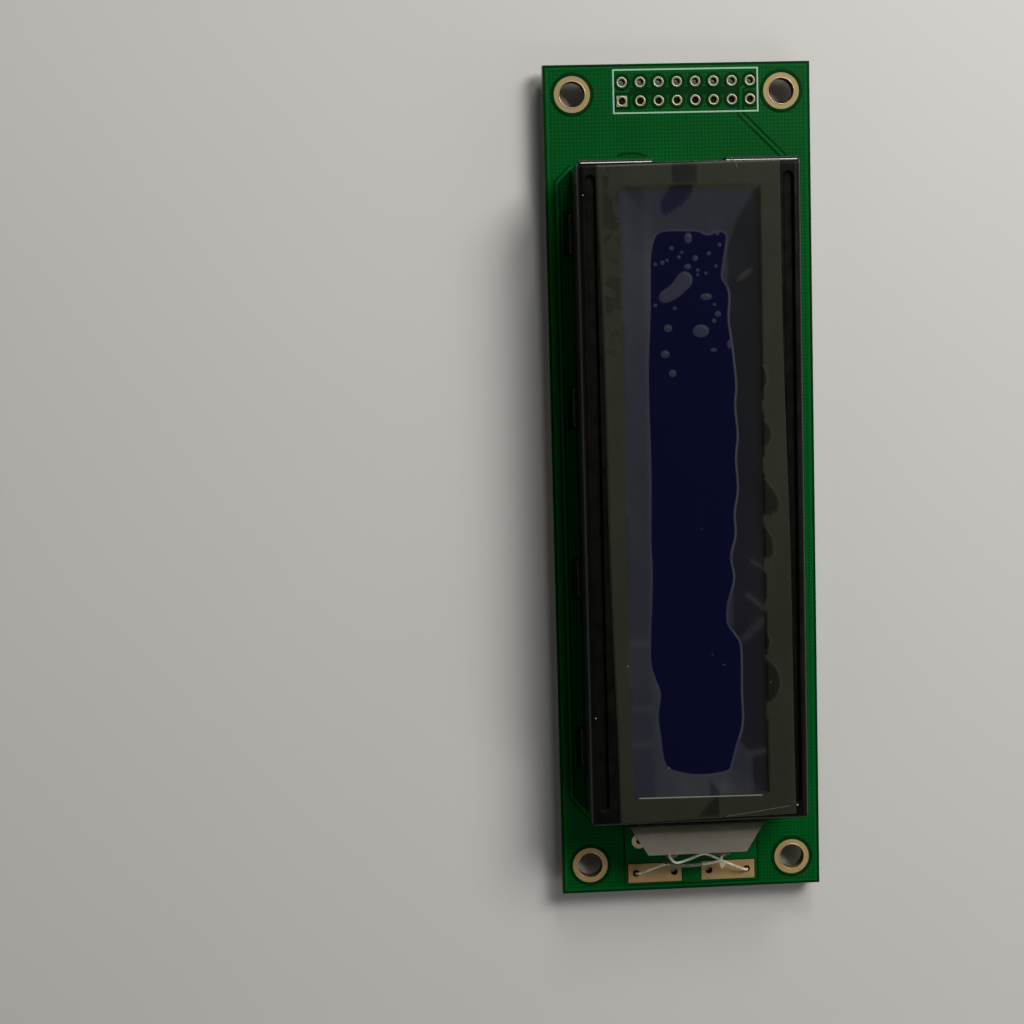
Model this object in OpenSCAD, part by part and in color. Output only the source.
// Character LCD module: a printed board with a folded steel bezel that clamps
// the display glass, its contact strips and an edge-lit backlight.
// Frame: the origin is the centre of the four mounting holes, on the board's
// front face. +X runs from the connector end to the backlight end, +Y across
// the board and +Z out of the display.

/* [Board] */
// Length of the board
board_l = 116; // [112:0.5:140]
// Width of the board
board_w = 37; // [36:0.5:46]
// Thickness of the board
board_t = 1.6; // [0.8:0.1:2]
// Thickness of the plated pads that stand on the board
pad_t = 0.05; // [0.03:0.01:0.1]
// Distance from the mounting holes to the board's ends
hole_end = 4; // [3.5:0.25:5]
// Distance from the mounting holes to the board's sides
hole_side = 4; // [3.5:0.25:5]
// Diameter of the mounting holes
hole_d = 3.5; // [2.5:0.1:3.6]
// Diameter of the plated ring round a mounting hole
ring_d = 5.3; // [4:0.1:6.5]

/* [Connector holes] */
// Pitch of the connector holes
header_pitch = 2.54; // [2:0.01:2.54]
// Number of connector holes in a row
header_n = 8; // [7:1:8]
// Distance from the connector's middle to the board's end
header_end = 3.76; // [3:0.01:5]
// Offset of the connector's middle across the board
header_y = 1.27; // [-1:0.01:1.5]
// Diameter of the connector holes
header_hole_d = 0.95; // [0.8:0.05:1.1]
// Diameter of the connector's plated pads
header_pad_d = 1.6; // [1.4:0.1:1.8]

/* [Bezel] */
// Outer length of the bezel
bezel_l = 90.2; // [80:0.1:94]
// Outer width of the bezel
bezel_w = 30; // [25:0.1:32]
// Offset of the bezel's middle along the board
bezel_x = 0.9; // [0:0.1:1.5]
// Thickness of the bezel's sheet
sheet_t = 0.5; // [0.3:0.05:0.6]
// Outer radius of the bezel's bends
bend_r = 0.8; // [0.7:0.05:1.2]
// Length of the window
window_l = 83; // [70:0.5:84]
// Width of the window
window_w = 18.6; // [16:0.2:20]
// Radius of the window's corners
window_r = 1; // [0.3:0.1:2]
// Width of the pressed bead along each side of the face
bead_w = 1.5; // [1:0.1:1.8]
// Depth of the pressed bead
bead_depth = 0.5; // [0.3:0.05:0.7]
// Distance from the bead's middle to the bezel's outer side
bead_side = 1.7; // [1.6:0.1:2.2]
// Distance from the bead's ends to the bezel's ends
bead_end = 2; // [1.5:0.1:4]
// Width of the slit at each folded corner
corner_slit = 0.25; // [0.1:0.05:0.5]
// Width of the opening in the end wall at the connector end
end_gap_w = 10; // [4:0.5:16]

/* [Bezel tabs] */
// Distance between neighbouring tabs
tab_pitch = 24; // [20:0.5:24]
// Width of a tab
tab_w = 4.4; // [3:0.1:4.8]
// Distance that a tab stands out behind the board
tab_out = 1.6; // [1.5:0.1:2.4]
// Angle that a tab's end is twisted through
tab_twist = 36; // [20:1:50]
// Width of the neck that a tab twists on
neck_w = 1.3; // [0.8:0.1:2]
// Height over which the neck twists
twist_h = 0.6; // [0.4:0.1:1.2]
// Gap between the pad and a tab's turned head
head_gap = 0.3; // [0.2:0.05:0.5]
// Length of the slot for a tab
slot_l = 5.4; // [5:0.1:6]
// Width of the slot for a tab
slot_w = 1.4; // [1:0.1:1.6]

/* [Display glass] */
// Thickness of each glass
glass_t = 1.1; // [0.55:0.05:1.4]
// Thickness of each polariser
polariser_t = 0.2; // [0.1:0.05:0.3]
// Width of the contact ledge along each side of the front glass
ledge_w = 3.1; // [2.8:0.1:3.6]
// Clearance between the glass and the bezel's inside
glass_clear = 0.4; // [0.2:0.05:0.6]
// Width of a contact strip
strip_w = 2.2; // [1.5:0.1:2.4]
// Length of the protective film on the bezel
cover_l = 89; // [84:0.5:90]
// Width of the protective film
cover_w = 24.5; // [20:0.5:25]
// Thickness of the protective film
cover_t = 0.1; // [0.05:0.01:0.2]

/* [Backlight] */
// Thickness of the light guide
guide_t = 5.6; // [4:0.1:7]
// Thickness of the reflector and diffuser films
film_t = 0.2; // [0.1:0.05:0.3]
// Distance that the light guide's tab stands out of the bezel
guide_tab_l = 5.3; // [4:0.1:6]
// Width of the light guide's tab at its end
guide_tab_w = 13.8; // [11:0.2:15]
// Width of the light guide's tab at the bezel
guide_root_w = 20.4; // [18:0.2:21]
// Size of the lamp in the tab, along X, Y and Z
lamp_size = [2.8, 9.6, 3.4];
// Diameter of the lamp's wires
lead_d = 0.35; // [0.3:0.05:0.6]
// Distance from the wire holes to the board's end
lead_end = 2.5; // [2.2:0.1:3]
// Diameter of the wire holes
lead_hole_d = 1; // [0.8:0.05:1.2]

/* [Back of the board] */
// Diameter of the larger resin cap
driver_cap_d = 13.8; // [10:0.2:14.5]
// Diameter of the smaller resin cap
controller_cap_d = 12; // [8:0.2:12.4]
// Height of the resin caps
cap_h = 1.3; // [1:0.05:1.45]
// Side of the square label
label_side = 12; // [8:0.5:12]

/* [Hidden] */
$fn = 48;

eps = 0.5;                      // overshoot of a cutting shape
fit = 0.05;                     // clearance between pieces that slide together
back = -board_t;                // back face of the board
seat = back - pad_t;            // back face of the plated pads

// Mounting holes
hole_x = board_l / 2 - hole_end;
hole_y = board_w / 2 - hole_side;

// Connector
header_x = -board_l / 2 + header_end;
header_rows = [header_x - header_pitch / 2, header_x + header_pitch / 2];
header_first = header_y - (header_n - 1) / 2 * header_pitch;

// Stack inside the bezel, from the board upwards
guide_z = film_t;
diffuser_z = guide_z + guide_t;
rear_pol_z = diffuser_z + film_t;
lower_z = rear_pol_z + polariser_t;
upper_z = lower_z + glass_t;
glass_top = upper_z + glass_t;
inner_h = glass_top + bead_depth;
bezel_h = inner_h + sheet_t;

// Bezel
bezel_end = bezel_x + bezel_l / 2;
bead_y = bezel_w / 2 - bead_side;
bead_wall = 0.3;
bead_l = bezel_l - 2 * bead_end;
inside_l = bezel_l - 2 * sheet_t;
inside_w = bezel_w - 2 * sheet_t;
tab_x = [for (i = [-1.5:1:1.5]) bezel_x + i * tab_pitch];
tab_y = (bezel_w - sheet_t) / 2;
neck_root = 0.2;                // the neck starts this far inside its tab
slot_gap = 0.05;                // from the wall's inner face to the slot
slot_y = inside_w / 2 - slot_gap + slot_w / 2;
slot_pad_w = 1.95;
slot_pad_y = slot_y - slot_w / 2 - slot_pad_w / 2;

// Glass
glass_l = inside_l - 2 * glass_clear;
glass_w = inside_w - 2 * glass_clear;
lower_w = glass_w - 2 * ledge_w;
pol_margin = 1.2;               // glass left bare round a polariser
front_pol_w = 2 * (bead_y - bead_w / 2 - bead_wall - fit);
strip_y = (glass_w - ledge_w) / 2;
strip_l = glass_l - 4;

// Backlight
guide_w = lower_w;
guide_x0 = bezel_x - glass_l / 2;
guide_x1 = bezel_x + glass_l / 2;
guide_x2 = bezel_end + guide_tab_l;
tape_t = 0.15;
tape_x = bezel_end + 1.2;
lamp_z = guide_z + (guide_t - lamp_size[2]) / 2;
lead_x = board_l / 2 - lead_end;
lead_z = lamp_z + lamp_size[2] / 2;
lead_pad = [2.7, 7.65];
lead_pad_y = 5.25;
lead_hole_y = [2.5, 7.95];      // spare hole and soldered hole of each pad

// Wire routes: how far from the lamp to the hole along X, then Y, then the
// height as a share of the lamp's height
route_a = [[0, -3.7, 1.3], [0.22, -3.6, 1.29], [0.4, -3.0, 1.24], [0.43, -2.2, 1.18],
    [0.34, -0.6, 1.08], [0.24, 0.8, 0.98], [0.25, 1.8, 0.88], [0.46, 3.5, 0.7],
    [0.74, 5.6, 0.5], [0.95, 7.4, 0.3], [1, 7.95, 0.12]];
route_b = [[0, 3.8, 1.22], [0.25, 3.8, 1.22], [0.44, 3.35, 1.14], [0.56, 2.2, 0.9],
    [0.64, 0.7, 0.72], [0.67, -0.6, 0.62], [0.66, -2.3, 0.56], [0.62, -3.9, 0.5],
    [0.76, -5.6, 0.4], [0.94, -7.3, 0.25], [1, -7.95, 0.1]];
lead_out = 0.75;                // the wire's end beyond the back pads

// Back of the board, as [x, y] from the origin
driver_at = [6.95, -1.15];
controller_at = [-24.6, 0.25];
label_at = [-6.85, -1.9];
chip_size = [2, 1.25, 0.5];
big_chip_size = [3.2, 1.6, 0.55];
resistor_x = -39.25;
resistor_y = [for (i = [0:5]) -8.35 + 2 * i];
resistor_f_at = [-34.2, -6.3];
capacitor_at = [-34.2, -8.35];
resistor_7_at = [43.05, -5.35];
chip_rows = [for (y = resistor_y) [resistor_x, y], resistor_f_at, capacitor_at];
jumper_x = 38;
jumper_y = [3.1, 0.5, -2, -4.6, -7.5];      // jumpers 1 to 5
jumper_6_at = [48.25, -10.15];
jumper_7_at = [41.5, 14];
jumper_d = 2;
jumper_split = 0.2;
test_pads = [[50.85, -7.45], [50.8, 7.5], [47.45, -2.5], [47.45, 2.55]];
test_pad_d = 2.1;
test_hole_d = 0.8;
so_x = 26.57;                   // the empty eight-lead outline
so_y = -4.15;
so_pitch = 1.27;
so_pad = [0.6, 2];
so_row = 2.8;
two_pads = [[26.57, -10.05], [26.35, 1.55]];
two_pad = 1.7;
two_gap = 3.45;

// ---- shapes --------------------------------------------------------------

// A rectangle about the origin with round corners
module round_rect(l, w, r) {
    square([l - 2 * r, w], center = true);
    square([l, w - 2 * r], center = true);
    for (x = [-1, 1], y = [-1, 1])
        translate([x * (l / 2 - r), y * (w / 2 - r)]) circle(r);
}

// The outline of a wall folded down at both edges, seen from its end
module fold_profile(w, h, r) {
    translate([-w / 2, -eps]) square([w, h + eps - r]);
    translate([r - w / 2, 0]) square([w - 2 * r, h]);
    for (x = [-1, 1]) translate([x * (w / 2 - r), h - r]) circle(r);
}

// A block whose upper edges and upright edges are round
module folded_block(l, w, h, r) {
    intersection() {
        rotate([90, 0, 0]) linear_extrude(2 * w, center = true) fold_profile(l, h, r);
        rotate([90, 0, 90]) linear_extrude(2 * l, center = true) fold_profile(w, h, r);
        translate([0, 0, -eps]) linear_extrude(h + 2 * eps) round_rect(l, w, r);
    }
}

// A long trough with sloping sides and round ends; its top is at z = 0
module trough(l, w_top, w_floor, depth) {
    half = [[0, 0], [w_top / 2, 0], [w_floor / 2, -depth], [0, -depth]];
    both = concat(half, [[-w_floor / 2, -depth], [-w_top / 2, 0]]);
    rotate([90, 0, 90]) linear_extrude(l - w_top, center = true) polygon(both);
    for (x = [-1, 1]) translate([x * (l - w_top) / 2, 0, 0])
        rotate_extrude() polygon(half);
}

// A low round mound standing on z = 0
module mound(d, h) {
    ball = (d * d / 4 + h * h) / (2 * h);
    rotate_extrude() intersection() {
        translate([0, h - ball]) circle(ball, $fn = 96);
        square([d / 2, h]);
    }
}

// A mound with arched length and width standing on z = 0
module long_mound(l, w, h) {
    intersection() {
        rotate([90, 0, 0]) linear_extrude(2 * w, center = true) arch(l, h);
        rotate([90, 0, 90]) linear_extrude(2 * l, center = true) arch(w, h);
    }
}
module arch(w, h) {
    ball = (w * w / 4 + h * h) / (2 * h);
    intersection() {
        translate([0, h - ball]) circle(ball, $fn = 96);
        translate([-w / 2, 0]) square([w, h]);
    }
}

// A closed tube through rings of points, listed one ring after another and
// clockwise as seen from the first ring
module skin(points, sides) {
    last = len(points) - sides;
    polyhedron(points, concat(
        [[for (k = [0:sides - 1]) k], [for (k = [sides - 1:-1:0]) last + k]],
        [for (i = [0:sides:last - 1], k = [0:sides - 1]) let(j = (k + 1) % sides)
            [i + k, i + sides + k, i + j]],
        [for (i = [0:sides:last - 1], k = [0:sides - 1]) let(j = (k + 1) % sides)
            [i + j, i + sides + k, i + sides + j]]));
}

// Puts a shape that stands on z = 0 onto the back of the board
module on_back(at, level = back) {
    translate([at[0], at[1], level]) mirror([0, 0, 1]) children();
}

// ---- board ---------------------------------------------------------------

module at_mounts() {
    for (x = [-hole_x, hole_x], y = [-hole_y, hole_y]) translate([x, y]) children();
}

module at_header() {
    for (x = header_rows, i = [0:header_n - 1])
        translate([x, header_first + i * header_pitch]) children();
}

module at_tabs() {
    for (x = tab_x, side = [-1, 1]) translate([x, side * slot_y]) children();
}

module board_holes() {
    at_mounts() circle(d = hole_d);
    at_header() circle(d = header_hole_d);
    at_tabs() square([slot_l, slot_w], center = true);
    for (side = [-1, 1], y = lead_hole_y) translate([lead_x, side * y]) circle(d = lead_hole_d);
    for (p = test_pads) translate(p) circle(d = test_hole_d);
}

// Pads that both faces carry
module common_pads() {
    at_mounts() circle(d = ring_d);
    at_header() circle(d = header_pad_d);
    translate([header_rows[1], header_first]) square(header_pad_d, center = true);
    for (side = [-1, 1]) translate([lead_x, side * lead_pad_y]) square(lead_pad, center = true);
    for (p = test_pads) translate(p) circle(d = test_pad_d);
}

module jumper_pad(at) {
    translate(at) difference() {
        circle(d = jumper_d);
        square([jumper_split, 2 * jumper_d], center = true);
    }
}

module back_pads() {
    for (x = tab_x, side = [-1, 1])
        translate([x, side * slot_pad_y]) square([slot_l, slot_pad_w], center = true);
    for (y = jumper_y) jumper_pad([jumper_x, y]);
    jumper_pad(jumper_6_at);
    jumper_pad(jumper_7_at);
    for (i = [-1.5:1:1.5], side = [-1, 1])
        translate([so_x + i * so_pitch, so_y + side * so_row]) square(so_pad, center = true);
    for (p = two_pads, side = [-1, 1])
        translate([p[0] + side * two_gap / 2, p[1]]) square(two_pad, center = true);
    for (p = chip_rows) translate(p) chip_pads(chip_size);
    translate(resistor_7_at) rotate(90) chip_pads(big_chip_size);
}

// The two pads under a chip's ends
module chip_pads(size) {
    pad_l = 1.5;
    outward = 0.15;
    margin = 0.1;
    for (side = [-1, 1]) translate([side * (size[0] / 2 + outward), 0])
        square([pad_l, size[1] + margin], center = true);
}

module circuit_board() {
    color("green") difference() {
        union() {
            translate([-board_l / 2, -board_w / 2, back]) cube([board_l, board_w, board_t]);
            linear_extrude(pad_t) common_pads();
            translate([0, 0, seat]) linear_extrude(pad_t) {
                common_pads();
                back_pads();
            }
        }
        translate([0, 0, seat - eps]) linear_extrude(board_t + 2 * (pad_t + eps)) board_holes();
    }
}

// ---- bezel ---------------------------------------------------------------

// One tab at the -Y side: straight through its slot, then a neck that twists
// inward about one edge and turns the head until it lies across the pad
module bezel_tab() {
    seat_h = board_t + pad_t;
    steps = 6;
    levels = concat([[neck_root - seat_h, 0], [-seat_h, 0]],
        [for (k = [1:steps]) [-seat_h - k / steps * twist_h, k / steps * tab_twist]]);
    corners = [[0, -sheet_t / 2], [0, sheet_t / 2], [neck_w, sheet_t / 2], [neck_w, -sheet_t / 2]];
    translate([0, -sheet_t / 2, -seat_h]) cube([tab_w, sheet_t, seat_h + fit]);
    skin([for (level = levels, c = corners) let(turn = level[1])
        [c[0] * cos(turn) - c[1] * sin(turn), c[0] * sin(turn) + c[1] * cos(turn), level[0]]],
        len(corners));
    rotate(tab_twist) translate([0, -sheet_t / 2, -board_t - tab_out])
        cube([tab_w, sheet_t, board_t + tab_out - seat_h - head_gap]);
}

module bezel_openings() {
    // window
    translate([bezel_x, 0, inner_h - eps]) linear_extrude(sheet_t + 2 * eps)
        round_rect(window_l, window_w, window_r);
    // end walls: the connector end, then the light guide's tab
    translate([bezel_x - bezel_l / 2 - eps, -end_gap_w / 2, -eps])
        cube([sheet_t + eps, end_gap_w, bezel_h + 2 * eps]);
    tab_gap_w = guide_root_w + 0.8;
    translate([bezel_end - sheet_t - fit, -tab_gap_w / 2, -eps])
        cube([sheet_t + fit + eps, tab_gap_w, inner_h - bend_r + sheet_t + eps]);
    // slits at the folded corners, between the end walls and the side walls
    for (x = [-1, 1], y = [-1, 1])
        translate([bezel_x + x * bezel_l / 2, y * (bezel_w / 2 - bend_r - corner_slit / 2), 0])
            translate([-bend_r, -corner_slit / 2, -eps])
                cube([2 * bend_r, corner_slit, bezel_h - bend_r + eps]);
}

module bezel() {
    color("#1b1b1a") {
        difference() {
            union() {
                translate([bezel_x, 0, 0]) difference() {
                    folded_block(bezel_l, bezel_w, bezel_h, bend_r);
                    folded_block(inside_l, inside_w, inner_h, bend_r - sheet_t);
                }
                for (side = [-1, 1]) translate([bezel_x, side * bead_y, inner_h])
                    trough(bead_l + 2 * bead_wall, bead_w + 2 * bead_wall, bead_w, bead_depth);
            }
            translate([-board_l, -board_w, -bezel_h]) cube([2 * board_l, 2 * board_w, bezel_h]);
            for (side = [-1, 1]) translate([bezel_x, side * bead_y, bezel_h])
                trough(bead_l, bead_w, bead_w - 2 * bead_wall, bead_depth);
            bezel_openings();
        }
        for (x = tab_x, flip_y = [0, 1]) {
            toward = sign(x - bezel_x);
            translate([x - toward * tab_w / 2, (2 * flip_y - 1) * tab_y, 0])
                mirror([min(toward, 0), 0, 0]) mirror([0, flip_y, 0]) bezel_tab();
        }
    }
}

// ---- display -------------------------------------------------------------

module plate(l, w, t, z) {
    translate([bezel_x - l / 2, -w / 2, z]) cube([l, w, t]);
}

// Laid on by hand, so a little off the middle and not quite straight
module protective_film() {
    offset_y = 0.4;
    turn = 0.8;
    color("#8a8c84") translate([bezel_x, offset_y, bezel_h + cover_t / 2]) rotate(turn)
        cube([cover_l, cover_w, cover_t], center = true);
}

module front_polariser() {
    color("#2b2f63") plate(glass_l - 2 * pol_margin, front_pol_w, polariser_t, glass_top);
}

module upper_glass() {
    color("#aab6c8") plate(glass_l, glass_w, glass_t, upper_z);
}

module lower_glass() {
    color("#9aa8bc") plate(glass_l, lower_w, glass_t, lower_z);
}

module rear_polariser() {
    color("#3a3f70") plate(glass_l - 2 * pol_margin, lower_w - pol_margin, polariser_t, rear_pol_z);
}

module contact_strip(side) {
    color("#c8578a") translate([0, side * strip_y, 0])
        plate(strip_l, strip_w, upper_z, 0);
}

// ---- backlight -----------------------------------------------------------

module guide_outline() {
    polygon([[guide_x0, -guide_w / 2], [guide_x1, -guide_w / 2], [guide_x1, -guide_root_w / 2],
        [bezel_end, -guide_root_w / 2], [guide_x2, -guide_tab_w / 2],
        [guide_x2, guide_tab_w / 2], [bezel_end, guide_root_w / 2],
        [guide_x1, guide_root_w / 2], [guide_x1, guide_w / 2], [guide_x0, guide_w / 2]]);
}

module diffuser_film() {
    color("white") plate(glass_l - pol_margin, lower_w - pol_margin / 2, film_t, diffuser_z);
}

module light_guide() {
    color("#e6ebe8") difference() {
        translate([0, 0, guide_z]) linear_extrude(guide_t) guide_outline();
        translate([guide_x2 - lamp_size[0] - fit, -lamp_size[1] / 2 - fit, lamp_z - fit])
            cube(lamp_size + [fit + eps, 2 * fit, 2 * fit]);
    }
}

module reflector_film() {
    color("white") plate(glass_l, guide_w, film_t, 0);
}

module tab_tape() {
    color("#b4b2ac") translate([0, 0, diffuser_z]) linear_extrude(tape_t) intersection() {
        guide_outline();
        translate([tape_x, -guide_w / 2]) square([guide_x2 - tape_x, guide_w]);
    }
}

module backlight_lamp() {
    color("#f2efe6") translate([guide_x2 - lamp_size[0], -lamp_size[1] / 2, lamp_z])
        cube(lamp_size);
}

// ---- lamp wires ----------------------------------------------------------

function lead_point(p) = [guide_x2 + fit + p[0] * (lead_x - guide_x2 - fit), p[1], p[2] * lead_z];
function lead_points(route) = let(last = route[len(route) - 1])
    concat([for (p = route) lead_point(p)],
        [[lead_x, last[1], -board_t / 2], [lead_x, last[1], seat - lead_out]]);

// Smooth curve through the points, four steps to each stretch
function spline(a, b, c, d, t) = 0.5 * (2 * b + (c - a) * t
    + (2 * a - 5 * b + 4 * c - d) * t * t + (3 * b - a - 3 * c + d) * t * t * t);
function smooth(p, steps = 4) = let(n = len(p)) concat(
    [for (i = [0:n - 2], k = [0:steps - 1])
        spline(p[max(i - 1, 0)], p[i], p[i + 1], p[min(i + 2, n - 1)], k / steps)],
    [p[n - 1]]);

function unit(v) = v / norm(v);
function heading(p, i) = unit(p[min(i + 1, len(p) - 1)] - p[max(i - 1, 0)]);
// Frames carried along the path without twisting
function carried(p, i, side) = let(h = heading(p, i)) unit(side - (side * h) * h);
function frames(p, i = 0, side = [0, 0, 1]) = let(s = carried(p, i, side))
    i == len(p) - 1 ? [s] : concat([s], frames(p, i + 1, s));

module wire(route, d, sides = 8) {
    path = smooth(lead_points(route));
    across = frames(path);
    skin([for (i = [0:len(path) - 1], k = [0:sides - 1])
        let(a = 360 * k / sides, u = across[i], v = cross(heading(path, i), u))
            path[i] + d / 2 * (cos(a) * u + sin(a) * v)],
        sides);
}

module lamp_lead(route) {
    color("#cfccb8") wire(route, lead_d);
}

// Solder over the outer part of each pad, round the end of the wire
module lamp_solder(side) {
    size = [5.9, 2.6, 1];
    mid = lead_pad_y + lead_pad[1] / 2 - size[0] / 2;
    color("silver") difference() {
        on_back([lead_x, side * mid], seat) rotate(90) long_mound(size[0], size[1], size[2]);
        translate([lead_x, side * lead_hole_y[1], seat - 2 * size[2]])
            cylinder(d = lead_d + 2 * fit, h = 4 * size[2]);
    }
}

// ---- back of the board ---------------------------------------------------

die_size = [3.6, 4.4, 0.4];
small_die_size = [3.2, 3.6, 0.4];

module die(at, size) {
    color("#5c6068") on_back(at) translate([-size[0] / 2, -size[1] / 2, 0]) cube(size);
}

// Resin cap: a low dome with a steeper rim, hollow where the chip sits
module resin_cap(at, d, size) {
    rim = 0.35;
    color("#161616") on_back(at) difference() {
        union() {
            mound(d - 2 * rim, cap_h);
            rotate_extrude() intersection() {
                translate([d / 2 - rim - 0.3, 0]) circle(rim + 0.3);
                square([d / 2, cap_h]);
            }
        }
        translate([-size[0] / 2, -size[1] / 2, -eps]) cube(size + [0, 0, eps]);
    }
}

// A chip part: a ceramic body with a metal cap on each end
module chip_part(size) {
    inset = 0.03;
    end = 0.2 * size[0];
    translate([-size[0] / 2 + inset, -size[1] / 2 + inset, inset])
        cube([size[0] - 2 * inset, size[1] - 2 * inset, size[2] - 2 * inset]);
    for (side = [-1, 1]) translate([side * (size[0] - end) / 2, 0, size[2] / 2])
        cube([end, size[1], size[2]], center = true);
}

module resistor(at, size = chip_size, turn = 0) {
    color("#20242a") on_back(at, seat) rotate(turn) chip_part(size);
}

module capacitor_1() {
    taller = 0.15;
    color("tan") on_back(capacitor_at, seat) chip_part(chip_size + [0, 0, taller]);
}

// Solder fillets at the two ends of a chip part
module chip_fillets(size) {
    run = 0.7;
    lip = 0.08;
    rise = 0.8 * size[2];
    for (side = [0, 180]) rotate(side) translate([size[0] / 2, 0, 0])
        rotate([90, 0, 0]) linear_extrude(size[1] - lip, center = true)
            polygon([[0, 0], [run, 0], [run, lip], [lip, rise], [0, rise]]);
}

module chip_solder() {
    color("silver") {
        for (p = chip_rows) on_back(p, seat) chip_fillets(chip_size);
        on_back(resistor_7_at, seat) rotate(90) chip_fillets(big_chip_size);
    }
}

module solder_bridge(at) {
    bridge_d = 1.8;
    bridge_h = 0.75;
    color("silver") on_back(at, seat) mound(bridge_d, bridge_h);
}

// Put on by hand, so not quite straight
module label() {
    turn = -1.2;
    paper_t = 0.1;
    corner_r = 0.9;
    color("#e6e2dc") on_back(label_at) rotate(turn) linear_extrude(paper_t)
        round_rect(label_side, label_side, corner_r);
}

// ---- pieces --------------------------------------------------------------

circuit_board();
bezel();
protective_film();
front_polariser();
upper_glass();
lower_glass();
rear_polariser();
contact_strip(-1);  // contact_strip_left
contact_strip(1);  // contact_strip_right
diffuser_film();
light_guide();
reflector_film();
tab_tape();
backlight_lamp();
lamp_lead(route_a);  // lamp_lead_a
lamp_lead(route_b);  // lamp_lead_b
lamp_solder(1);  // lamp_solder_a
lamp_solder(-1);  // lamp_solder_b
die(driver_at, die_size);  // driver_chip
resin_cap(driver_at, driver_cap_d, die_size);  // driver_cap
die(controller_at, small_die_size);  // controller_chip
resin_cap(controller_at, controller_cap_d, small_die_size);  // controller_cap
resistor([resistor_x, resistor_y[0]]);  // resistor_1
resistor([resistor_x, resistor_y[1]]);  // resistor_2
resistor([resistor_x, resistor_y[2]]);  // resistor_3
resistor([resistor_x, resistor_y[3]]);  // resistor_4
resistor([resistor_x, resistor_y[4]]);  // resistor_5
resistor([resistor_x, resistor_y[5]]);  // resistor_6
resistor(resistor_f_at);  // resistor_f
resistor(resistor_7_at, big_chip_size, 90);  // resistor_7
capacitor_1();
chip_solder();
solder_bridge([jumper_x, jumper_y[0]]);  // solder_bridge_1
solder_bridge([jumper_x, jumper_y[2]]);  // solder_bridge_3
solder_bridge(jumper_7_at);  // solder_bridge_7
label();
